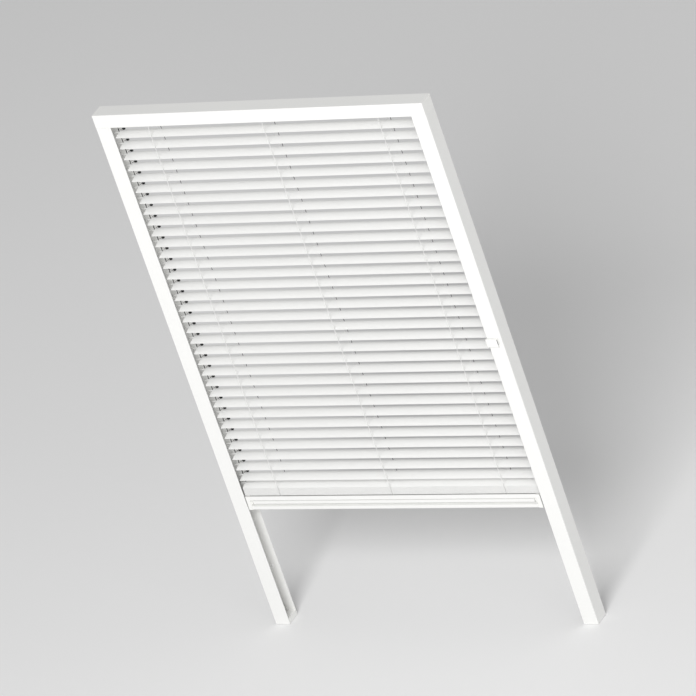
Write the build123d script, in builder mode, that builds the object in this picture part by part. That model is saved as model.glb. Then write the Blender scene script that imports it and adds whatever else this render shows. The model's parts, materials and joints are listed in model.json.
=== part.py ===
from build123d import *
import math
import os

os.makedirs("parts", exist_ok=True)

# Venetian blind for a roof window, millimetres.
# +X runs to the right, +Y towards the glass, +Z up the window.
# The origin is the centre of the headrail's back face, between its two screw holes.

# ---- overall sizes ----
blind_width = 620.0
blind_height = 1007.0
blind_depth = 30.0
wall = 1.4
edge_round = 0.5

# ---- headrail and side channels ----
headrail_height = 24.0
channel_face = 27.0
end_plate = 3.8
screw_spacing = 480.0
screw_hole = 4.5
channel_hole = 4.0
channel_hole_inset = 100.0
foot_height = 9.0

# ---- slats ----
slat_width = 25.0
slat_thickness = 0.22
slat_crown = 1.8
slat_pitch = 21.0
slat_count = 33
slat_recess = 2.1
slat_end_gap = 2.0
slat_rest_tilt = 3.0
first_slat_drop = 20.35
tongue_length = 10.0
tongue_front = 1.0
tongue_rear = 4.9
tongue_point = 1.3

# ---- gathered slats on the bottom bar ----
gathered_count = 10
gathered_pitch = 1.6
gathered_drop = 15.4

# ---- cords ----
ladder_spacing = 216.0
ladder_offset = 4.0
ladder_cord = 0.8
lift_cord = 1.2
lift_cord_offset = 7.0
edge_cord = 1.6
edge_cord_inset = 0.5
edge_hole_gap = 0.2
tilt_cord = 1.2
cord_gap = 0.3
cord_fit = 0.08
notch_depth = 2.8
notch_width = 2.6
string_slot = 4.0
string_slot_back = 3.2
string_slot_play = 0.7
lift_slot = 2.8
tilt_slot = 9.0
tilt_slot_play = 2.0

# ---- tilt mechanism ----
rod_diameter = 5.0
running_gap = 0.05
drum_diameter = 17.0
drum_width = 12.0
drum_flange = 1.2
hub_diameter = 8.0
hub_length = 3.0
drum_gap = 0.5
cradle_gap = 0.2
cradle_front = 8.0
cradle_ear = 2.0
cradle_base = 1.5
pulley_diameter = 15.6
pulley_width = 5.0
groove_depth = 0.8
groove_mouth = 2.2
groove_floor = 1.4
tilt_inset = 10.0
peg_clear = 2.0
peg_length = 6.0
peg_rib = 3.0
peg_rib_depth = 12.0
boss_diameter = 10.0
boss_length = 3.0
tail_gap = 0.3
tail_thickness = 2.4
tail_width = 18.0
tail_length = 22.0

# ---- tilt slider ----
slider_width = 20.4
slider_height = 15.0
slider_thickness = 4.0
slider_skin = 0.8
slider_pocket = 12.0
slider_drop = 440.0
slider_gap = 0.3
slider_hook = 1.1
slider_round = 0.9
slider_arm = 10.0

# ---- bottom bar ----
bar_height = 26.0
bar_gap = 1.7
bar_cap_width = 7.5
bar_wall = 1.5
bar_inset = 0.2
bar_bevel = 0.6
trough_depth = 2.6
trough_front = 2.0
trough_back = 3.6
groove_in = 3.2
groove_height = 1.4
cove_in = 6.0
lip_out = 0.6
# heights down the bar's front, as shares of its height
groove_at = 0.27
cove_at = 0.54
ledge_at = 0.71
lip_at = 0.76
lip_end_at = 0.94
glider_length = 9.0
glider_height = 20.0
glider_front = 4.0
end_notch = 5.0
notch_in = 3.4
tab_at = (0.42, 0.60)
cap_plug = 6.0
plug_gap = 0.1

# ---- worked out from the sizes above ----
half_width = blind_width / 2
front_y = -blind_depth
inner_x = half_width - channel_face
headrail_top = headrail_height / 2
headrail_bottom = -headrail_height / 2
channel_bottom = headrail_top - blind_height
slat_half = inner_x - slat_end_gap
slat_y = front_y + slat_recess + slat_width / 2
first_slat_z = headrail_bottom - first_slat_drop
last_slat_z = first_slat_z - (slat_count - 1) * slat_pitch
gathered_top_z = last_slat_z - gathered_drop
gathered_low_z = gathered_top_z - (gathered_count - 1) * gathered_pitch
slat_drop = slat_width / 2 * math.sin(math.radians(slat_rest_tilt))
bar_top = gathered_low_z - slat_drop - bar_gap
ladder_xs = [ladder_offset + n * ladder_spacing for n in (-1, 0, 1)]
front_string_y = slat_y - slat_width / 2 - cord_gap - ladder_cord / 2
rear_string_y = slat_y + slat_width / 2 + cord_gap + ladder_cord / 2
lift_y = slat_y + slat_width / 2 - notch_depth + cord_gap + lift_cord
edge_y = slat_y + tongue_rear + cord_gap + edge_cord / 2
edge_x = inner_x + edge_cord_inset
glider_top = bar_top - (bar_height - glider_height) / 2
tilt_x = half_width - tilt_inset
tilt_radius = pulley_diameter / 2 - groove_depth + tilt_cord / 2 + cord_fit
tilt_peg_z = channel_bottom + foot_height + tilt_radius + tilt_cord + peg_clear


def side(sign, low, high):
    """Centre and length along X of a stretch that is measured outwards from the middle, on one side."""
    return sign * (low + high) / 2, high - low


def block(x, y, z):
    """A box between pairs of limits, added to the part being built."""
    with Locations(((x[0] + x[1]) / 2, (y[0] + y[1]) / 2, (z[0] + z[1]) / 2)):
        Box(x[1] - x[0], y[1] - y[0], z[1] - z[0])


def cut(x, y, z):
    """A box between pairs of limits, taken out of the part being built."""
    with Locations(((x[0] + x[1]) / 2, (y[0] + y[1]) / 2, (z[0] + z[1]) / 2)):
        Box(x[1] - x[0], y[1] - y[0], z[1] - z[0], mode=Mode.SUBTRACT)


def sided(sign, low, high):
    """Limits along X on one side, in rising order."""
    return (low, high) if sign > 0 else (-high, -low)


# ---- headrail: a channel open to the room, with its back wall against the window ----
headrail_half = half_width - end_plate
cover_y = front_y + wall
with BuildPart() as headrail:
    block((-headrail_half, headrail_half), (cover_y, 0), (headrail_bottom, headrail_top))
    cut(
        (-headrail_half, headrail_half),
        (cover_y, -wall),
        (headrail_bottom + wall, headrail_top - wall),
    )
    with Locations((screw_spacing / 2, -wall / 2, 0), (-screw_spacing / 2, -wall / 2, 0)):
        Cylinder(screw_hole / 2, 3 * wall, rotation=(90, 0, 0), mode=Mode.SUBTRACT)
    for x in ladder_xs:
        floor = (headrail_bottom - wall, headrail_bottom + 2 * wall)
        slot_x = (x - string_slot / 2, x + string_slot / 2)
        cut(slot_x, (cover_y, cover_y + string_slot), floor)
        cut(slot_x, (rear_string_y - string_slot_back, rear_string_y + string_slot_play), floor)
        cut(
            (x + lift_cord_offset - lift_slot / 2, x + lift_cord_offset + lift_slot / 2),
            (lift_y - lift_slot / 2, lift_y + lift_slot / 2),
            floor,
        )
    cut(
        (tilt_x - tilt_slot / 2, tilt_x + tilt_slot / 2),
        (slat_y - tilt_radius - tilt_slot_play, slat_y + tilt_radius + tilt_slot_play),
        (headrail_bottom - wall, headrail_bottom + 2 * wall),
    )
    with Locations((edge_x, edge_y, headrail_bottom), (-edge_x, edge_y, headrail_bottom)):
        Cylinder(edge_cord / 2 + edge_hole_gap, 4 * wall, mode=Mode.SUBTRACT)
headrail.part.label = "headrail"
export_step(headrail.part, "parts/headrail.step")

# ---- headrail cover: the front strip, with two lips that snap inside the headrail ----
lip_gap = 0.05
lip_depth = 5.0
lip = 1.0
with BuildPart() as headrail_cover:
    block((-half_width, half_width), (front_y, cover_y), (headrail_bottom, headrail_top))
    fillet(headrail_cover.edges().filter_by(Axis.X).group_by(Axis.Y)[0], edge_round)
    for low, high in (
        (headrail_top - wall - lip_gap - lip, headrail_top - wall - lip_gap),
        (headrail_bottom + wall + lip_gap, headrail_bottom + wall + lip_gap + lip),
    ):
        block((-headrail_half + 8, headrail_half - 16), (cover_y, cover_y + lip_depth), (low, high))
    for x in ladder_xs:
        cut(
            (x - 3, x + 3),
            (cover_y, cover_y + lip_depth),
            (headrail_bottom, headrail_bottom + 4 * wall),
        )
headrail_cover.part.label = "headrail_cover"
export_step(headrail_cover.part, "parts/headrail_cover.step")

# ---- corner blocks: close the headrail's ends, carry the tilt rod and plug into the channels ----
tail_y = (slat_y - tail_width / 2, slat_y + tail_width / 2)
tail_x = half_width - wall - tail_gap
with BuildPart() as corner_blocks:
    for sign in (1, -1):
        block(
            sided(sign, headrail_half, half_width),
            (cover_y, 0),
            (headrail_bottom, headrail_top),
        )
        block(
            sided(sign, tail_x - tail_thickness, tail_x),
            tail_y,
            (headrail_bottom - tail_length, headrail_bottom),
        )
        boss_x, boss_span = side(sign, headrail_half - boss_length, headrail_half)
        with Locations((boss_x, slat_y, 0)):
            Cylinder(boss_diameter / 2, boss_span, rotation=(0, 90, 0))
        bore_x, bore_span = side(sign, headrail_half - boss_length, headrail_half + 2)
        with Locations((bore_x, slat_y, 0)):
            Cylinder(
                rod_diameter / 2 + running_gap,
                bore_span,
                rotation=(0, 90, 0),
                mode=Mode.SUBTRACT,
            )
corner_blocks.part.label = "corner_blocks"
export_step(corner_blocks.part, "parts/corner_blocks.step")

# ---- side channels: U profiles whose mouths face the slat ends ----
for name, sign in (("side_channel_left", -1), ("side_channel_right", 1)):
    with BuildPart() as channel:
        block(
            sided(sign, inner_x, half_width),
            (front_y, 0),
            (channel_bottom, headrail_bottom),
        )
        front_corners = channel.edges().filter_by(Axis.Z).group_by(Axis.Y)[0]
        fillet(front_corners, edge_round)
        cut(
            sided(sign, inner_x - 1, half_width - wall),
            (front_y + wall, -wall),
            (channel_bottom - 1, headrail_bottom + 1),
        )
        for z in (headrail_bottom - channel_hole_inset, channel_bottom + channel_hole_inset):
            with Locations((sign * (inner_x + channel_face / 2), -wall / 2, z)):
                Cylinder(channel_hole / 2, 3 * wall, rotation=(90, 0, 0), mode=Mode.SUBTRACT)
    channel.part.label = name
    export_step(channel.part, f"parts/{name}.step")

# ---- channel feet: plugs in the channels' lower ends, each with a peg for a cord loop ----
foot_gap = 0.2
peg_radius = tilt_radius - tilt_cord / 2 - cord_fit
with BuildPart() as channel_feet:
    for sign in (1, -1):
        block(
            sided(sign, inner_x, half_width - wall - foot_gap),
            (front_y + wall + foot_gap, -wall - foot_gap),
            (channel_bottom, channel_bottom + foot_height),
        )
        block(
            sided(sign, tilt_x + peg_length / 2, tilt_x + peg_length / 2 + peg_rib),
            (slat_y - peg_rib_depth / 2, slat_y + peg_rib_depth / 2),
            (channel_bottom + foot_height, tilt_peg_z + peg_rib_depth / 2),
        )
        with Locations((sign * tilt_x, slat_y, tilt_peg_z)):
            Cylinder(peg_radius, peg_length, rotation=(0, 90, 0))
channel_feet.part.label = "channel_feet"
export_step(channel_feet.part, "parts/channel_feet.step")

# ---- tilt rod with its drums and pulley: one turning shaft along the headrail ----
with BuildPart() as tilt_rod:
    with BuildSketch(Plane.YZ.offset(-headrail_half - 1)):
        with Locations((slat_y, 0)):
            Circle(rod_diameter / 2)
    extrude(amount=2 * headrail_half + 2)
tilt_rod.part.label = "tilt_rod"
export_step(tilt_rod.part, "parts/tilt_rod.step")

drum_groove = drum_diameter / 2 - groove_depth
with BuildPart() as tilt_drums:
    for x in ladder_xs:
        with Locations((x, slat_y, 0)):
            Cylinder(drum_groove, drum_width, rotation=(0, 90, 0))
            Cylinder(hub_diameter / 2, drum_width + 2 * hub_length, rotation=(0, 90, 0))
        for end in (-1, 1):
            with Locations((x + end * (drum_width - drum_flange) / 2, slat_y, 0)):
                Cylinder(drum_diameter / 2, drum_flange, rotation=(0, 90, 0))
    with Locations((0, slat_y, 0)):
        Cylinder(rod_diameter / 2, blind_width, rotation=(0, 90, 0), mode=Mode.SUBTRACT)
tilt_drums.part.label = "tilt_drums"
export_step(tilt_drums.part, "parts/tilt_drums.step")

with BuildPart() as tilt_pulley:
    with BuildSketch(Plane.XZ.offset(-slat_y)) as pulley_profile:
        with BuildLine():
            Polyline(
                (tilt_x - pulley_width / 2, rod_diameter / 2),
                (tilt_x - pulley_width / 2, pulley_diameter / 2),
                (tilt_x - groove_mouth / 2, pulley_diameter / 2),
                (tilt_x - groove_floor / 2, pulley_diameter / 2 - groove_depth),
                (tilt_x + groove_floor / 2, pulley_diameter / 2 - groove_depth),
                (tilt_x + groove_mouth / 2, pulley_diameter / 2),
                (tilt_x + pulley_width / 2, pulley_diameter / 2),
                (tilt_x + pulley_width / 2, rod_diameter / 2),
                close=True,
            )
        make_face()
    revolve(axis=Axis((0, slat_y, 0), (1, 0, 0)))
tilt_pulley.part.label = "tilt_pulley"
export_step(tilt_pulley.part, "parts/tilt_pulley.step")

# ---- drum cradles: clipped to the headrail's floor, one under each drum ----
cradle_floor = headrail_bottom + wall
ear_inner = drum_width / 2 + 0.4
ear_outer = ear_inner + cradle_ear
with BuildPart() as drum_cradles:
    for x in ladder_xs:
        block(
            (x - ear_outer - 1, x + ear_outer + 1),
            (max(slat_y - cradle_front, cover_y + lip_depth + cradle_gap), -wall - cradle_gap),
            (cradle_floor, cradle_floor + cradle_base),
        )
        for end in (-1, 1):
            ear_x = (x + ear_inner, x + ear_outer) if end > 0 else (x - ear_outer, x - ear_inner)
            block(ear_x, (slat_y - 6, slat_y + 6), (cradle_floor, hub_diameter / 2 + 2))
        with Locations((x, slat_y, 0)):
            Cylinder(
                hub_diameter / 2 + running_gap,
                2 * ear_outer + 2,
                rotation=(0, 90, 0),
                mode=Mode.SUBTRACT,
            )
        with Locations((x, slat_y, 0)):
            Cylinder(
                drum_diameter / 2 + drum_gap,
                2 * ear_inner,
                rotation=(0, 90, 0),
                mode=Mode.SUBTRACT,
            )
        cut(
            (x - 2, x + 2),
            (rear_string_y - 5, -wall),
            (cradle_floor - 1, cradle_floor + cradle_base + 1),
        )
        with Locations((x + lift_cord_offset, lift_y, cradle_floor)):
            Cylinder(lift_cord / 2 + cord_fit, 6 * cradle_base, mode=Mode.SUBTRACT)
drum_cradles.part.label = "drum_cradles"
export_step(drum_cradles.part, "parts/drum_cradles.step")

# ---- ladder cords: a front and a rear string at each ladder, from the drum to the bottom bar ----
string_bend_z = headrail_bottom - 4.0
string_top_z = -2.0
string_in = drum_diameter / 2 + ladder_cord / 2 + 0.2
with BuildPart() as ladder_cords:
    for x in ladder_xs:
        for y, top_y in (
            (front_string_y, slat_y - string_in),
            (rear_string_y, slat_y + string_in),
        ):
            with BuildLine() as route:
                Polyline((x, y, bar_top), (x, y, string_bend_z), (x, top_y, string_top_z))
            with BuildSketch(Plane((x, y, bar_top))):
                Circle(ladder_cord / 2)
            sweep(path=route.wires()[0], transition=Transition.RIGHT)
ladder_cords.part.label = "ladder_cords"
export_step(ladder_cords.part, "parts/ladder_cords.step")

# ---- lift cords: through the slats' rear notches, knotted above the cradles ----
knot_z = cradle_floor + cradle_base + lift_cord
with BuildPart() as lift_cords:
    for x in ladder_xs:
        with BuildSketch(Plane.XY.offset(bar_top)):
            with Locations((x + lift_cord_offset, lift_y)):
                Circle(lift_cord / 2)
        extrude(amount=knot_z - bar_top)
        with Locations((x + lift_cord_offset, lift_y, knot_z)):
            Sphere(lift_cord)
lift_cords.part.label = "lift_cords"
export_step(lift_cords.part, "parts/lift_cords.step")

# ---- edge cords: dark cords behind the slat tongues, from a knot in the headrail to the bar ----
edge_knot = 1.6
edge_knot_z = cradle_floor + edge_knot
with BuildPart() as edge_cords:
    for x in (edge_x, -edge_x):
        with BuildSketch(Plane.XY.offset(glider_top)):
            with Locations((x, edge_y)):
                Circle(edge_cord / 2)
        extrude(amount=edge_knot_z - glider_top)
        with Locations((x, edge_y, edge_knot_z)):
            Sphere(edge_knot)
edge_cords.part.label = "edge_cords"
export_step(edge_cords.part, "parts/edge_cords.step")

# ---- tilt cord: an endless loop from the pulley down to the peg in the right foot ----
with BuildPart() as tilt_cord_loop:
    with BuildSketch(Plane.XY.offset(tilt_peg_z)):
        with Locations((tilt_x, slat_y - tilt_radius), (tilt_x, slat_y + tilt_radius)):
            Circle(tilt_cord / 2)
    extrude(amount=-tilt_peg_z)
    for z, turn in ((0, 180), (tilt_peg_z, -180)):
        with BuildSketch(Plane.XY.offset(z)):
            with Locations((tilt_x, slat_y + tilt_radius)):
                Circle(tilt_cord / 2)
        revolve(axis=Axis((tilt_x, slat_y, z), (1, 0, 0)), revolution_arc=turn)
tilt_cord_loop.part.label = "tilt_cord"
export_step(tilt_cord_loop.part, "parts/tilt_cord.step")

# ---- tilt slider: a thumb piece that wraps the right channel's inner edge and grips the cord ----
slider_x = inner_x - slider_gap - slider_hook
plate_y = (front_y - slider_gap - slider_thickness, front_y - slider_gap)
hook_y = (front_y + wall + slider_gap, front_y + wall + slider_gap + slider_hook)
arm_x = (tilt_x - 6, tilt_x + 3)
with BuildPart() as tilt_slider:
    block(
        (slider_x, slider_x + slider_width),
        plate_y,
        (-slider_drop - slider_height / 2, -slider_drop + slider_height / 2),
    )
    fillet(tilt_slider.edges().group_by(Axis.Y)[0], slider_round)
    block(
        (slider_x, slider_x + slider_hook),
        (plate_y[1] - 1, hook_y[1]),
        (-slider_drop - slider_height / 2 + 1, -slider_drop + slider_height / 2 - 1),
    )
    block(
        (slider_x, arm_x[1]),
        hook_y,
        (-slider_drop - slider_arm / 2, -slider_drop + slider_arm / 2),
    )
    block(
        arm_x,
        (hook_y[0], slat_y - tilt_radius + 2),
        (-slider_drop - slider_arm / 2, -slider_drop + slider_arm / 2),
    )
    with Locations((tilt_x, slat_y - tilt_radius, -slider_drop)):
        Cylinder(tilt_cord / 2 + cord_fit, slider_height, mode=Mode.SUBTRACT)
    cut(
        (slider_x + slider_width - slider_pocket, slider_x + slider_width),
        (plate_y[0] + slider_skin, plate_y[1] - slider_skin / 2),
        (
            -slider_drop - slider_height / 2 + 2 * slider_skin,
            -slider_drop + slider_height / 2 - 2 * slider_skin,
        ),
    )
tilt_slider.part.label = "tilt_slider"
export_step(tilt_slider.part, "parts/tilt_slider.step")

# ---- bottom bar: ridged extrusion, with a trough on top, a groove and a cove in front, and a pull lip ----
bar_half = slat_half - bar_cap_width
bar_back = slat_y + slat_width / 2
bar_face = front_y + bar_inset
bar_low = bar_top - bar_height
groove_z = bar_top - groove_at * bar_height
cove_z = bar_top - cove_at * bar_height
ledge_z = bar_top - ledge_at * bar_height
lip_z = (bar_top - lip_at * bar_height, bar_top - lip_end_at * bar_height)
hollow_y = (bar_face + cove_in + bar_wall, bar_back - bar_wall)
hollow_z = (bar_low + bar_wall, bar_top - trough_depth - bar_wall)
with BuildPart() as bottom_bar:
    with BuildSketch(Plane.YZ.offset(-bar_half)):
        with BuildLine():
            Polyline(
                (bar_back, bar_top),
                (bar_back - trough_back, bar_top),
                (bar_back - 2 * trough_back, bar_top - trough_depth),
                (bar_face + trough_front + 2 * trough_depth, bar_top - trough_depth),
                (bar_face + trough_front, bar_top),
                (bar_face + bar_bevel, bar_top),
                (bar_face, bar_top - bar_bevel),
                (bar_face, groove_z),
                (bar_face + groove_in, groove_z - bar_bevel / 2),
                (bar_face + groove_in, groove_z - groove_height),
                (bar_face, groove_z - groove_height - bar_bevel),
                (bar_face, cove_z),
            )
            ThreePointArc(
                (bar_face, cove_z),
                (bar_face + 0.8 * cove_in, (2 * cove_z + ledge_z) / 3),
                (bar_face + cove_in, ledge_z),
            )
            Polyline(
                (bar_face + cove_in, ledge_z),
                (front_y - lip_out + bar_bevel, lip_z[0] + bar_bevel),
                (front_y - lip_out, lip_z[0]),
                (front_y - lip_out, lip_z[1]),
                (bar_face + bar_bevel, bar_low),
                (bar_back, bar_low),
                (bar_back, bar_top),
            )
        make_face()
        with Locations(((hollow_y[0] + hollow_y[1]) / 2, (hollow_z[0] + hollow_z[1]) / 2)):
            Rectangle(hollow_y[1] - hollow_y[0], hollow_z[1] - hollow_z[0], mode=Mode.SUBTRACT)
    extrude(amount=2 * bar_half)
    for sign in (1, -1):
        cut(
            sided(sign, bar_half - end_notch, bar_half),
            (front_y - 1, front_y + notch_in),
            (ledge_z, groove_z),
        )
bottom_bar.part.label = "bottom_bar"
export_step(bottom_bar.part, "parts/bottom_bar.step")

# ---- bar end caps: close the bar and slide in the channels ----
glider_y = (slat_y - glider_front, edge_y + edge_cord)
with BuildPart() as bar_end_caps:
    for sign in (1, -1):
        block(
            sided(sign, bar_half, slat_half),
            (front_y + 0.1, bar_back),
            (bar_low, bar_top),
        )
        block(
            sided(sign, bar_half - end_notch / 2, bar_half),
            (front_y + notch_in / 2, front_y + notch_in),
            (bar_top - tab_at[1] * bar_height, bar_top - tab_at[0] * bar_height),
        )
        block(
            sided(sign, bar_half - cap_plug, bar_half),
            (hollow_y[0] + plug_gap, hollow_y[1] - plug_gap),
            (hollow_z[0] + plug_gap, hollow_z[1] - plug_gap),
        )
        block(
            sided(sign, slat_half, slat_half + glider_length),
            glider_y,
            (
                bar_top - bar_height / 2 - glider_height / 2,
                bar_top - bar_height / 2 + glider_height / 2,
            ),
        )
bar_end_caps.part.label = "bar_end_caps"
export_step(bar_end_caps.part, "parts/bar_end_caps.step")


# ---- slats ----
def make_slat(name, z):
    """One crowned slat, tilted to its rest angle about its long middle line, and written out."""
    turn = math.radians(slat_rest_tilt)
    depth_way = Vector(0, math.cos(turn), math.sin(turn))
    up_way = Vector(0, -math.sin(turn), math.cos(turn))
    middle = Vector(0, slat_y, z)
    end_plane = Plane(middle, x_dir=depth_way, z_dir=(1, 0, 0))
    flat_plane = Plane(middle - up_way * slat_width, x_dir=(1, 0, 0), z_dir=up_way)
    half = slat_width / 2
    with BuildPart() as slat:
        with BuildSketch(end_plane):
            with BuildLine():
                top = ThreePointArc((-half, 0), (0, slat_crown), (half, 0))
                low = ThreePointArc(
                    (-half, -slat_thickness),
                    (0, slat_crown - slat_thickness),
                    (half, -slat_thickness),
                )
                Line(top @ 0, low @ 0)
                Line(top @ 1, low @ 1)
            make_face()
        extrude(amount=slat_half + tongue_length, both=True)
        with BuildSketch(flat_plane) as blank:
            Rectangle(2 * slat_half, slat_width + 2)
            for sign in (1, -1):
                with BuildLine():
                    Polyline(
                        (sign * (slat_half - 1), tongue_front),
                        (sign * (slat_half + tongue_length), tongue_front),
                        (sign * (slat_half + tongue_length), tongue_front + tongue_point),
                        (sign * slat_half, tongue_rear),
                        (sign * (slat_half - 1), tongue_rear),
                        close=True,
                    )
                make_face()
            for x in ladder_xs:
                with Locations((x + lift_cord_offset, half + 1 - notch_depth / 2)):
                    Rectangle(notch_width, notch_depth + 2, mode=Mode.SUBTRACT)
        extrude(amount=2 * slat_width, mode=Mode.INTERSECT)
    slat.part.label = name
    export_step(slat.part, f"parts/{name}.step")


for number in range(slat_count):
    make_slat(f"slat_{number + 1:02d}", first_slat_z - number * slat_pitch)

for number in range(gathered_count):
    make_slat(f"gathered_slat_{number + 1:02d}", gathered_top_z - number * gathered_pitch)

print(f"bar top {bar_top:.2f}, slat line y {slat_y:.2f}, last slat {last_slat_z:.2f}")
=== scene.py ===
import json
import math

import bpy
import numpy as np
from mathutils import Matrix, Vector


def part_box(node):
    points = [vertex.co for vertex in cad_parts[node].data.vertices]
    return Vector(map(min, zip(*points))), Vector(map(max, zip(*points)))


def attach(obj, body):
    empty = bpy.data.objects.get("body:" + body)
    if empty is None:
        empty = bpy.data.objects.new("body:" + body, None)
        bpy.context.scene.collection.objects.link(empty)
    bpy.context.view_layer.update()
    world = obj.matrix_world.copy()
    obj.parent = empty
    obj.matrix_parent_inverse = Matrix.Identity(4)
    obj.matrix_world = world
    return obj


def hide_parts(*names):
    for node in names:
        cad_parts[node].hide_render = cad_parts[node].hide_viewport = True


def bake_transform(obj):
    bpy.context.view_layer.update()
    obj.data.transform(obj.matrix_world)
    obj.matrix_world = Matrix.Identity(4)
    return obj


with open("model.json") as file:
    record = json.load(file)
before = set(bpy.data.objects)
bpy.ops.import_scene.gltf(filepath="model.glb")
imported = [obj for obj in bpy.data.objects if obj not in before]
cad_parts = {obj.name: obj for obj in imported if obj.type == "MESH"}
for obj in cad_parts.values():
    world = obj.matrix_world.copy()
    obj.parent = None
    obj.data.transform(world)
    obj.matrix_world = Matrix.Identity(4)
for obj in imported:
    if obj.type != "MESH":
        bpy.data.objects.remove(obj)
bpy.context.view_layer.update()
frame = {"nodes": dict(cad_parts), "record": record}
nodes = frame["nodes"]
print("frame loaded:", len(nodes), "nodes")

# names of the slats, top to bottom
hangingSlats = sorted(name for name in nodes if name.startswith("slat_"))
gatheredSlats = sorted(name for name in nodes if name.startswith("gathered_slat_"))


# one node at a place in the editor, with the given input values
def addNode(tree, kind, x, y, **inputs):
    node = tree.nodes.new(kind)
    node.location = (x, y)
    for key, value in inputs.items():
        node.inputs[key.replace("_", " ")].default_value = value
    return node


# an empty shader group: inputs are (name, kind, value), outputs are (name, kind)
def newGroup(name, inputs, outputs):
    group = bpy.data.node_groups.new(name, "ShaderNodeTree")
    for socketName, kind, value in inputs:
        socket = group.interface.new_socket(socketName, in_out="INPUT", socket_type=kind)
        if value is not None:
            socket.default_value = value
    for socketName, kind in outputs:
        group.interface.new_socket(socketName, in_out="OUTPUT", socket_type=kind)
    start = addNode(group, "NodeGroupInput", -900, 0)
    end = addNode(group, "NodeGroupOutput", 700, 0)
    return group, start, end


# a math node whose inputs are sockets or numbers
def mathNode(tree, operation, x, y, first, second):
    node = addNode(tree, "ShaderNodeMath", x, y)
    node.operation = operation
    for index, value in enumerate((first, second)):
        if isinstance(value, (int, float)):
            node.inputs[index].default_value = value
        else:
            tree.links.new(value, node.inputs[index])
    return node.outputs[0]


# a colour mix node
def mixNode(tree, x, y):
    mix = addNode(tree, "ShaderNodeMix", x, y)
    mix.data_type = "RGBA"
    return mix


# a new material with an empty tree, its output and its shader joined
def newMaterial(name):
    material = bpy.data.materials.new(name)
    material.use_nodes = True
    tree = material.node_tree
    tree.nodes.clear()
    output = addNode(tree, "ShaderNodeOutputMaterial", 600, 0)
    shader = addNode(tree, "ShaderNodeBsdfPrincipled", 300, 0)
    tree.links.new(shader.outputs["BSDF"], output.inputs["Surface"])
    return material, tree, shader


lacquerBlend = {
    "patchMiddle": 0.42,  # the patch noise's usual value
    "patchPush": 12.0,
    "peelRoughness": 0.10,
    "patchRoughness": 0.25,
    "patchHeight": 0.4,
    "bumpDistance": 0.0002,
    "ior": 1.5,
}


# powder coat, from a fine peel noise and a slow patch noise:
# colour goes from light to dull by (patch - its middle) times the tone amount times the push,
# roughness = base + a share of peel + a share of (patch - its middle),
# height = peel + a share of patch
def makeLacquerGroup():
    group, start, end = newGroup(
        "lacquerSkin",
        [
            ("Vector", "NodeSocketVector", None),
            ("Peel Scale", "NodeSocketFloat", 900.0),
            ("Patch Scale", "NodeSocketFloat", 14.0),
            ("Tone Amount", "NodeSocketFloat", 0.04),
            ("Base Roughness", "NodeSocketFloat", 0.35),
            ("Light Colour", "NodeSocketColor", (0.9, 0.9, 0.88, 1)),
            ("Dull Colour", "NodeSocketColor", (0.8, 0.8, 0.78, 1)),
        ],
        [
            ("Colour", "NodeSocketColor"),
            ("Roughness", "NodeSocketFloat"),
            ("Height", "NodeSocketFloat"),
        ],
    )
    link = group.links.new
    peel = addNode(group, "ShaderNodeTexNoise", -600, 200, Detail=3.0, Roughness=0.5)
    patch = addNode(group, "ShaderNodeTexNoise", -600, -100, Detail=5.0, Roughness=0.6)
    for noise, scale in ((peel, "Peel Scale"), (patch, "Patch Scale")):
        link(start.outputs["Vector"], noise.inputs["Vector"])
        link(start.outputs[scale], noise.inputs["Scale"])
    fine, slow = peel.outputs["Fac"], patch.outputs["Fac"]

    centred = mathNode(group, "SUBTRACT", -380, -100, slow, lacquerBlend["patchMiddle"])
    spread = mathNode(group, "MULTIPLY", -220, -100, centred, start.outputs["Tone Amount"])
    share = mathNode(group, "MULTIPLY", -60, -100, spread, lacquerBlend["patchPush"])
    mix = mixNode(group, 200, 100)
    mix.clamp_factor = True
    link(share, mix.inputs["Factor"])
    link(start.outputs["Light Colour"], mix.inputs["A"])
    link(start.outputs["Dull Colour"], mix.inputs["B"])
    link(mix.outputs["Result"], end.inputs["Colour"])

    peelShare = mathNode(group, "MULTIPLY", -220, 250, fine, lacquerBlend["peelRoughness"])
    rough = mathNode(group, "ADD", -60, 250, peelShare, start.outputs["Base Roughness"])
    patchShare = mathNode(group, "MULTIPLY", 60, 320, centred, lacquerBlend["patchRoughness"])
    link(mathNode(group, "ADD", 220, 300, rough, patchShare), end.inputs["Roughness"])

    broad = mathNode(group, "MULTIPLY", -60, 0, slow, lacquerBlend["patchHeight"])
    link(mathNode(group, "ADD", 220, -40, fine, broad), end.inputs["Height"])
    return group


lacquerSkin = makeLacquerGroup()


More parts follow.
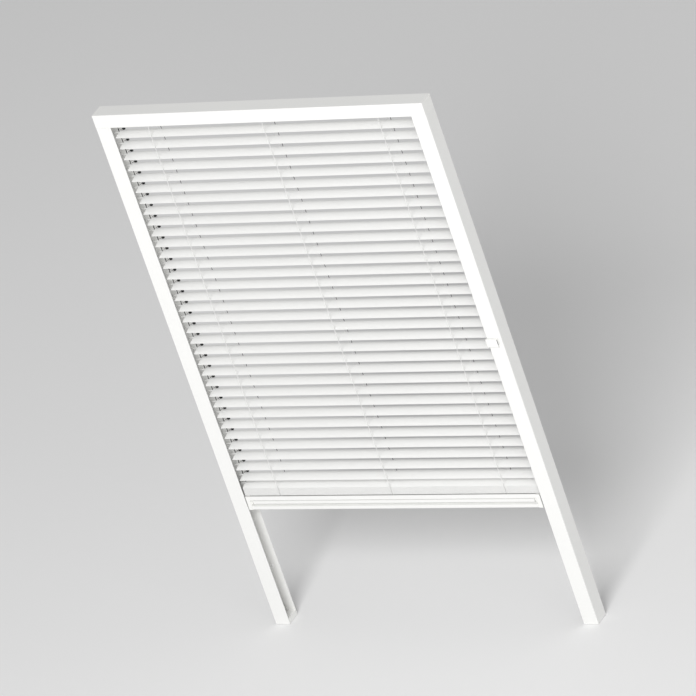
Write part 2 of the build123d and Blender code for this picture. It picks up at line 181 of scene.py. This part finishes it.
# a lacquered, moulded or metal surface made with the shared skin
def lacquerMaterial(name, settings):
    material, tree, shader = newMaterial(name)
    shader.inputs["IOR"].default_value = lacquerBlend["ior"]
    shader.inputs["Metallic"].default_value = settings.get("metallic", 0.0)
    coordinates = addNode(tree, "ShaderNodeTexCoord", -700, 0)
    stretch = addNode(tree, "ShaderNodeMapping", -520, 0)
    stretch.inputs["Scale"].default_value = settings.get("stretch", (1, 1, 1))
    skin = addNode(tree, "ShaderNodeGroup", -280, 0)
    skin.node_tree = lacquerSkin
    skin.inputs["Peel Scale"].default_value = settings["peelScale"]
    skin.inputs["Patch Scale"].default_value = settings["patchScale"]
    skin.inputs["Tone Amount"].default_value = settings["toneAmount"]
    skin.inputs["Base Roughness"].default_value = settings["roughness"]
    skin.inputs["Light Colour"].default_value = (*settings["colour"], 1)
    skin.inputs["Dull Colour"].default_value = (*settings["dullColour"], 1)
    bump = addNode(tree, "ShaderNodeBump", 60, -200, Strength=settings["bump"])
    bump.inputs["Distance"].default_value = lacquerBlend["bumpDistance"]
    tree.links.new(coordinates.outputs["Object"], stretch.inputs["Vector"])
    tree.links.new(stretch.outputs["Vector"], skin.inputs["Vector"])
    tree.links.new(skin.outputs["Colour"], shader.inputs["Base Color"])
    tree.links.new(skin.outputs["Roughness"], shader.inputs["Roughness"])
    tree.links.new(skin.outputs["Height"], bump.inputs["Height"])
    tree.links.new(bump.outputs["Normal"], shader.inputs["Normal"])
    return material


profileLacquer = {
    "colour": (0.79, 0.79, 0.775),
    "dullColour": (0.73, 0.73, 0.71),
    "roughness": 0.32,
    "peelScale": 1400.0,
    "patchScale": 9.0,
    "toneAmount": 0.05,
    "bump": 0.12,
}
slatLacquer = {
    "colour": (0.86, 0.86, 0.85),
    "dullColour": (0.80, 0.80, 0.785),
    "roughness": 0.30,
    "peelScale": 1800.0,
    "patchScale": 16.0,
    "toneAmount": 0.05,
    "bump": 0.06,
    "stretch": (0.25, 1, 1),
}
mouldedPlastic = {
    "colour": (0.80, 0.80, 0.78),
    "dullColour": (0.74, 0.74, 0.715),
    "roughness": 0.40,
    "peelScale": 2600.0,
    "patchScale": 60.0,
    "toneAmount": 0.04,
    "bump": 0.25,
}
rodSteel = {
    "colour": (0.60, 0.60, 0.61),
    "dullColour": (0.45, 0.45, 0.46),
    "roughness": 0.28,
    "peelScale": 900.0,
    "patchScale": 300.0,
    "toneAmount": 0.10,
    "bump": 0.15,
    "metallic": 1.0,
    "stretch": (0.05, 1, 1),
}
# near-black clip plastic; the same finish also paints the shade inside the slider's pocket
clipPlasticAndShade = {
    "colour": (0.012, 0.012, 0.013),
    "dullColour": (0.030, 0.030, 0.031),
    "roughness": 0.38,
    "peelScale": 3000.0,
    "patchScale": 400.0,
    "toneAmount": 0.10,
    "bump": 0.2,
}
cordTwist = {
    "lean": (0, math.radians(35), math.radians(20)),
    "distortion": 1.5,
    "strandDetail": 1.0,
    "fibreScale": 4000.0,
    "fibreDetail": 2.0,
    "bumpStrength": 0.7,
    "bumpDistance": 0.0002,
}


# a twisted cord: half the sum of a leaned band wave and fine fibre noise
# takes the colour from dark to light, and is the height too
def cordMaterial(name, settings):
    material, tree, shader = newMaterial(name)
    shader.inputs["Roughness"].default_value = settings["roughness"]
    shader.inputs["Sheen Weight"].default_value = settings["sheen"]
    coordinates = addNode(tree, "ShaderNodeTexCoord", -900, 0)
    lean = addNode(tree, "ShaderNodeMapping", -700, 0, Rotation=cordTwist["lean"])
    strands = addNode(tree, "ShaderNodeTexWave", -480, 100, Scale=settings["strandScale"])
    strands.inputs["Distortion"].default_value = cordTwist["distortion"]
    strands.inputs["Detail"].default_value = cordTwist["strandDetail"]
    strands.bands_direction = "Z"
    fibres = addNode(tree, "ShaderNodeTexNoise", -480, -200, Scale=cordTwist["fibreScale"])
    fibres.inputs["Detail"].default_value = cordTwist["fibreDetail"]
    mix = mixNode(tree, 0, 100)
    mix.inputs["A"].default_value = (*settings["dark"], 1)
    mix.inputs["B"].default_value = (*settings["light"], 1)
    bump = addNode(tree, "ShaderNodeBump", 60, -200, Strength=cordTwist["bumpStrength"])
    bump.inputs["Distance"].default_value = cordTwist["bumpDistance"]
    both = mathNode(tree, "ADD", -200, -100, strands.outputs["Fac"], fibres.outputs["Fac"])
    half = mathNode(tree, "MULTIPLY", -100, -60, both, 0.5)
    tree.links.new(coordinates.outputs["Object"], lean.inputs["Vector"])
    tree.links.new(lean.outputs["Vector"], strands.inputs["Vector"])
    tree.links.new(coordinates.outputs["Object"], fibres.inputs["Vector"])
    tree.links.new(half, mix.inputs["Factor"])
    tree.links.new(mix.outputs["Result"], shader.inputs["Base Color"])
    tree.links.new(half, bump.inputs["Height"])
    tree.links.new(bump.outputs["Normal"], shader.inputs["Normal"])
    return material


paleCord = {
    "dark": (0.58, 0.58, 0.57),
    "light": (0.84, 0.84, 0.82),
    "roughness": 0.8,
    "sheen": 0.3,
    "strandScale": 700.0,
}
# dark grey lift cords: painted shade, standing in for the shade in the slat notches the cords pass
# through
shadedLiftCord = {
    "dark": (0.10, 0.10, 0.10),
    "light": (0.24, 0.24, 0.24),
    "roughness": 0.75,
    "sheen": 0.2,
    "strandScale": 800.0,
}
darkCord = {
    "dark": (0.010, 0.010, 0.011),
    "light": (0.05, 0.05, 0.052),
    "roughness": 0.7,
    "sheen": 0.2,
    "strandScale": 600.0,
}
ladderThread = {
    "dark": (0.78, 0.78, 0.77),
    "light": (0.88, 0.88, 0.87),
    "roughness": 0.8,
    "sheen": 0.3,
    "strandScale": 1500.0,
}

finishes = {
    "lacquered_profile": lacquerMaterial("profileLacquer", profileLacquer),
    "lacquered_slat": lacquerMaterial("slatLacquer", slatLacquer),
    "white_plastic": lacquerMaterial("mouldedPlastic", mouldedPlastic),
    "rod_steel": lacquerMaterial("rodSteel", rodSteel),
    "pale_cord": cordMaterial("paleCord", paleCord),
    "dark_cord": cordMaterial("darkCord", darkCord),
}
for part in frame["record"]["subparts"]:
    shape = nodes[part["node"]]
    shape.data.materials.clear()
    shape.data.materials.append(finishes[part["material_slot"]])
print("finishes placed")


# faces turned round where the closed shape's volume is negative;
# the volume's sign is that of the sum of p0 . (p1 x p2) over its triangles
def outward(points, faces):
    volume = 0.0
    for face in faces:
        corners = points[list(face)]
        volume += np.einsum("j,ij->", corners[0], np.cross(corners[1:-1], corners[2:]))
    return [face[::-1] for face in faces] if volume < 0 else faces


# a closed skin over rings of equal length: quads between neighbours, a flat face at each end
def closeRings(rings):
    count, around = rings.shape[:2]
    index = np.arange(count * around).reshape(count, around)
    turned = np.roll(index, -1, axis=1)
    quads = np.stack([index[:-1], turned[:-1], turned[1:], index[1:]], axis=-1).reshape(-1, 4)
    faces = quads.tolist() + [index[0][::-1].tolist(), index[-1].tolist()]
    points = rings.reshape(-1, 3)
    return points, outward(points, faces)


# a round profile carried along a path: p(t, a) = path(t) + radius * (cos a * side + sin a * up)
def tube(path, radius, sides):
    along = np.gradient(path, axis=0)
    along /= np.linalg.norm(along, axis=1, keepdims=True)
    nearX = abs(along[0, 0]) >= 0.8  # such a path takes Y for its reference
    reference = np.array([0.0, 1.0, 0.0]) if nearX else np.array([1.0, 0.0, 0.0])
    up = np.cross(along, reference)
    up /= np.linalg.norm(up, axis=1, keepdims=True)
    side = np.cross(up, along)
    angle = (np.arange(sides) * 2 * np.pi / sides)[None, :, None]
    wheel = np.cos(angle) * side[:, None] + np.sin(angle) * up[:, None]
    return closeRings(path[:, None] + radius * wheel)


blockPole = 1.35  # the latitude in radians where a rounded block closes


# a block with soft edges: x and y are the signed powers of cos a and sin a, shrunk by that
# of cos b, and z is that of sin b, each times its half size
def roundedBlock(centre, half, power, around, levels):
    a = np.arange(around) * 2 * np.pi / around
    b = np.linspace(-blockPole, blockPole, levels)

    def soft(value):
        return np.sign(value) * np.abs(value) ** power

    ring = np.stack([soft(np.cos(a)), soft(np.sin(a)), np.zeros(around)], axis=-1)
    rings = ring[None] * soft(np.cos(b))[:, None, None]
    rings[..., 2] = soft(np.sin(b))[:, None]
    return closeRings(np.array(centre) + rings * np.array(half))


# one smooth object from several closed shapes, with its finish
def makePiece(name, shapes, material):
    points, faces, start = [], [], 0
    for shapePoints, shapeFaces in shapes:
        points.append(shapePoints)
        faces += [[corner + start for corner in face] for face in shapeFaces]
        start += len(shapePoints)
    mesh = bpy.data.meshes.new(name)
    mesh.from_pydata(np.concatenate(points).tolist(), [], faces)
    mesh.polygons.foreach_set("use_smooth", [True] * len(mesh.polygons))
    mesh.materials.append(material)
    piece = bpy.data.objects.new(name, mesh)
    bpy.context.scene.collection.objects.link(piece)
    return piece


slatShape = {"half": 0.0125, "crown": 0.0018, "thickness": 0.00022, "tilt": math.radians(3.0)}
rungShape = {
    "radius": 0.00014,
    "lift": 0.00015,
    "apart": 0.0004,  # how far the two rungs of a pair bow away from each other
    "reach": 0.0131,
    "turns": (-0.0119, -0.007, 0.0, 0.007, 0.0119),
    "sides": 5,
    "bead": 0.0005,
    "beadAround": 6,
    "beadLevels": 4,
}
clipShape = {
    "middle": 0.2778,
    "loopHalf": (0.0031, 0.0009, 0.0014),
    "loopBack": 0.0130,
    "loopUp": 0.0016,
    "flatLoopHalf": 0.0007,
    "gripHalf": (0.0020, 0.0014, 0.00055),
    "gripBack": 0.0118,
    "armEnds": ((0.2795, 0.0128, 0.0014), (0.2818, 0.0116, 0.0012), (0.2827, 0.0092, 0.0010)),
    "armRadius": 0.0003,
    "armSides": 6,
    "softness": 0.45,
    "around": 12,
    "gripLevels": 5,
    "loopLevels": 6,
}
cordRoutes = {
    "ladders": 3,
    "ladderRadius": 0.0004,
    "ladderBendDrop": 0.014,
    "ladderTopIn": 0.0063,
    "liftRadius": 0.0006,
    "liftKnot": 0.0012,
    "edgeRadius": 0.0008,
    "edgeKnot": 0.0016,
    "knotAround": 12,
    "knotLevels": 9,
    "steps": 72,
    "sides": 8,
    "fixedAbove": -0.016,
}


# even places between a node's two sides, each standing in by a margin
def evenPlaces(low, high, margin, count):
    return np.linspace(low.x + margin, high.x - margin, count)


ladderLow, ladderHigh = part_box("ladder_cords")
ladderPlaces = evenPlaces(
    ladderLow, ladderHigh, cordRoutes["ladderRadius"], cordRoutes["ladders"]
)


# middle of a slat in depth and height, at rest
def slatPlane(node):
    low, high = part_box(node)
    lift = slatShape["half"] * math.sin(slatShape["tilt"]) + slatShape["thickness"]
    return (low.y + high.y) / 2, low.z + lift


# height of the slat's arc over its chord: the root of (R^2 - r^2), less (R - crown)
def crownHeight(r):
    big = (slatShape["half"] ** 2 + slatShape["crown"] ** 2) / (2 * slatShape["crown"])
    inside = np.clip(np.abs(r), 0, slatShape["half"])
    return np.sqrt(big**2 - inside**2) - (big - slatShape["crown"])


# points r across the slat and h off its chord, turned to the slat's rest tilt:
# y = middle + r cos - h sin, z = middle + r sin + h cos
def onSlat(middle, x, r, h):
    c, s = math.cos(slatShape["tilt"]), math.sin(slatShape["tilt"])
    return np.stack([x + 0 * r, middle[0] + r * c - h * s, middle[1] + r * s + h * c], axis=-1)


# one such point
def spotOnSlat(middle, x, r, h):
    return onSlat(middle, x, np.array([r]), np.array([h]))[0]


# a rung over and one under the slat at each ladder, with a bead where they meet the strings;
# a rung's height is the slat's arc plus or minus a lift, and it bows sideways as 1 - (r/reach)^2
def rungsOf(middle):
    shapes = []
    reach = rungShape["reach"]
    r = np.array([-reach, *rungShape["turns"], reach])
    for place in ladderPlaces:
        for sign in (1, -1):
            under = 0 if sign > 0 else slatShape["thickness"]
            h = crownHeight(r) + sign * rungShape["lift"] - under
            h[[0, -1]] = 0.0
            bow = -sign * rungShape["apart"] * (1 - (r / reach) ** 2)
            path = onSlat(middle, place + bow, r, h)
            shapes.append(tube(path, rungShape["radius"], rungShape["sides"]))
        for end in (-reach, reach):
            spot = spotOnSlat(middle, place, end, 0.0)
            half = [rungShape["bead"]] * 3
            shapes.append(
                roundedBlock(spot, half, 1.0, rungShape["beadAround"], rungShape["beadLevels"])
            )
    return shapes


# a dark clip at each end of the slat's rear edge: a grip round the edge, a loop that stands
# on it, or lies on it in the gathered stack, and a thin arm
def clipsOf(middle, flat):
    shapes = []
    softness, around = clipShape["softness"], clipShape["around"]
    loopHalf = np.array(clipShape["loopHalf"])
    up = clipShape["loopUp"]
    if flat:
        loopHalf[2] = clipShape["flatLoopHalf"]
        up = clipShape["flatLoopHalf"]
    for sign in (-1, 1):
        x = sign * clipShape["middle"]
        grip = spotOnSlat(middle, x, clipShape["gripBack"], 0.0)
        loop = spotOnSlat(middle, x, clipShape["loopBack"], up)
        shapes.append(
            roundedBlock(grip, clipShape["gripHalf"], softness, around, clipShape["gripLevels"])
        )
        shapes.append(roundedBlock(loop, loopHalf, softness, around, clipShape["loopLevels"]))
        armX, armR, armH = np.array(clipShape["armEnds"]).T
        arm = onSlat(middle, sign * armX, armR, armH * (up / clipShape["loopUp"]))
        shapes.append(tube(arm, clipShape["armRadius"], clipShape["armSides"]))
    return shapes


threadFinish = cordMaterial("ladderThread", ladderThread)
# dark finish for the slat clips, and painted shade for the block in the slider's pocket
clipAndShadeFinish = lacquerMaterial("darkClipAndShade", clipPlasticAndShade)
for node in hangingSlats + gatheredSlats:
    middle = slatPlane(node)
    clips = clipsOf(middle, node in gatheredSlats)
    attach(makePiece("rungs_" + node, rungsOf(middle), threadFinish), node)
    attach(makePiece("clips_" + node, clips, clipAndShadeFinish), node)
print("rungs and clips placed")


# even points up one line: p(t) = (x, y, low + t * (high - low))
def straightRun(x, y, low, high):
    t = np.linspace(0, 1, cordRoutes["steps"])
    return np.stack([np.full_like(t, x), np.full_like(t, y), low + t * (high - low)], axis=-1)


# front and rear string of each ladder, bent inwards to the drum at the top
def ladderStrings():
    shapes = []
    radius = cordRoutes["ladderRadius"]
    bend = ladderHigh.z - cordRoutes["ladderBendDrop"]
    for place in ladderPlaces:
        for y, inward in ((ladderLow.y + radius, 1), (ladderHigh.y - radius, -1)):
            run = straightRun(place, y, ladderLow.z, bend)
            top = [[place, y + inward * cordRoutes["ladderTopIn"], ladderHigh.z]]
            shapes.append(tube(np.concatenate([run, top]), radius, cordRoutes["sides"]))
    return shapes


# straight cords with a round knot on top; the knot's middle is its radius under the node's top
def knottedCords(node, radius, knot, count):
    low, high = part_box(node)
    y = (low.y + high.y) / 2
    shapes = []
    for place in evenPlaces(low, high, knot, count):
        run = straightRun(place, y, low.z, high.z - knot)
        shapes.append(tube(run, radius, cordRoutes["sides"]))
        spot = (place, y, high.z - knot)
        shapes.append(
            roundedBlock(spot, [knot] * 3, 1.0, cordRoutes["knotAround"], cordRoutes["knotLevels"])
        )
    return shapes


# cords in place of a node: one smooth piece with its finish, the node hidden and the piece's
# transform baked
def stretchyCords(name, node, shapes, material):
    piece = makePiece(name, shapes, material)
    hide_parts(node)
    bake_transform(piece)


liftShapes = knottedCords(
    "lift_cords", cordRoutes["liftRadius"], cordRoutes["liftKnot"], cordRoutes["ladders"]
)
edgeShapes = knottedCords("edge_cords", cordRoutes["edgeRadius"], cordRoutes["edgeKnot"], 2)
# the lift cords' dark grey is painted shade for the slat notches
shadedLiftFinish = cordMaterial("shadedLiftCord", shadedLiftCord)
stretchyCords(
    "ladderStrings", "ladder_cords", ladderStrings(), finishes["pale_cord"]
)
stretchyCords("liftCords", "lift_cords", liftShapes, shadedLiftFinish)
stretchyCords("edgeCords", "edge_cords", edgeShapes, finishes["dark_cord"])
print("cords placed")

# dark block inside the slider's open end: painted shade, standing in for the deep shade of the
# open pocket
sliderShadeShape = {
    "half": (0.0042, 0.0012, 0.0054),
    "inset": 0.0058,
    "depth": 0.0022,
    "softness": 0.3,
    "around": 16,
    "levels": 8,
}
sliderLow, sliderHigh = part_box("tilt_slider")
sliderShadeCentre = (
    sliderHigh.x - sliderShadeShape["inset"],
    sliderLow.y + sliderShadeShape["depth"],
    (sliderLow.z + sliderHigh.z) / 2,
)
sliderShadeBlock = roundedBlock(
    sliderShadeCentre, sliderShadeShape["half"], sliderShadeShape["softness"], sliderShadeShape["around"], sliderShadeShape["levels"]
)
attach(makePiece("slider_painted_shade", [sliderShadeBlock], clipAndShadeFinish), "tilt_slider")
print("slider pad placed")

studio = {
    "floorTone": (0.82, 0.82, 0.82),
    "floorRoughness": 0.9,
    "floorSpecular": 0.1,
    "floorHeight": -0.9955,
    "floorHalf": 12,
    "floorLines": 9,
    "worldStrength": 0.45,
    "cameraPlace": (6.410456, -9.063247, 5.354793),
    "cameraRight": (0.85903957, 0.41946696, -0.29342543),
    "cameraUp": (0.01741321, 0.5489221, 0.83569211),
    "cameraBack": (0.51161294, -0.72300207, 0.46424154),
    "lens": 396.676,
    "sensor": 36,
    "farthest": 100,
}
lights = {
    "keyLight": {"place": (1.9, -5.5, 3.55), "aim": (0, 0, -0.45), "size": 2.9, "power": 385},
    "roomLight": {"place": (4.2, -2.9, 0.1), "aim": (0, 0, -0.6), "size": 2.8, "power": 40},
}


# a flat grid, z = floor height
def makeFloor():
    half, lines = studio["floorHalf"], studio["floorLines"]
    u, v = np.meshgrid(*[np.linspace(-half, half, lines)] * 2, indexing="ij")
    points = np.stack([u, v, np.full_like(u, studio["floorHeight"])], axis=-1).reshape(-1, 3)
    index = np.arange(lines**2).reshape(lines, lines)
    corners = [index[:-1, :-1], index[1:, :-1], index[1:, 1:], index[:-1, 1:]]
    quads = np.stack(corners, axis=-1).reshape(-1, 4)
    mesh = bpy.data.meshes.new("floor")
    mesh.from_pydata(points.tolist(), [], quads.tolist())
    floor = bpy.data.objects.new("floor", mesh)
    bpy.context.scene.collection.objects.link(floor)
    material, tree, shader = newMaterial("floorTone")
    shader.inputs["Base Color"].default_value = (*studio["floorTone"], 1)
    shader.inputs["Roughness"].default_value = studio["floorRoughness"]
    shader.inputs["Specular IOR Level"].default_value = studio["floorSpecular"]
    mesh.materials.append(material)


# a square area light at a place, turned to a point
def softLight(name, settings):
    data = bpy.data.lights.new(name, "AREA")
    data.size = settings["size"]
    data.energy = settings["power"]
    lamp = bpy.data.objects.new(name, data)
    place = Vector(settings["place"])
    turn = (Vector(settings["aim"]) - place).to_track_quat("-Z", "Y")
    lamp.matrix_world = Matrix.LocRotScale(place, turn, None)
    bpy.context.scene.collection.objects.link(lamp)


makeFloor()
for name, settings in lights.items():
    softLight(name, settings)
world = bpy.data.worlds.new("studioWorld")
world.use_nodes = True
sky = world.node_tree.nodes["Background"]
sky.inputs["Color"].default_value = (1, 1, 1, 1)
sky.inputs["Strength"].default_value = studio["worldStrength"]
bpy.context.scene.world = world

cameraData = bpy.data.cameras.new("camera")
cameraData.sensor_width = studio["sensor"]
cameraData.lens = studio["lens"]
cameraData.clip_end = studio["farthest"]
camera = bpy.data.objects.new("camera", cameraData)
cameraAxes = [studio["cameraRight"], studio["cameraUp"], studio["cameraBack"]]
cameraTurn = Matrix(cameraAxes).transposed().to_4x4()
cameraTurn.translation = studio["cameraPlace"]
camera.matrix_world = cameraTurn
bpy.context.scene.collection.objects.link(camera)
bpy.context.scene.camera = camera
bpy.context.scene.view_settings.view_transform = "Standard"
print("studio ready")
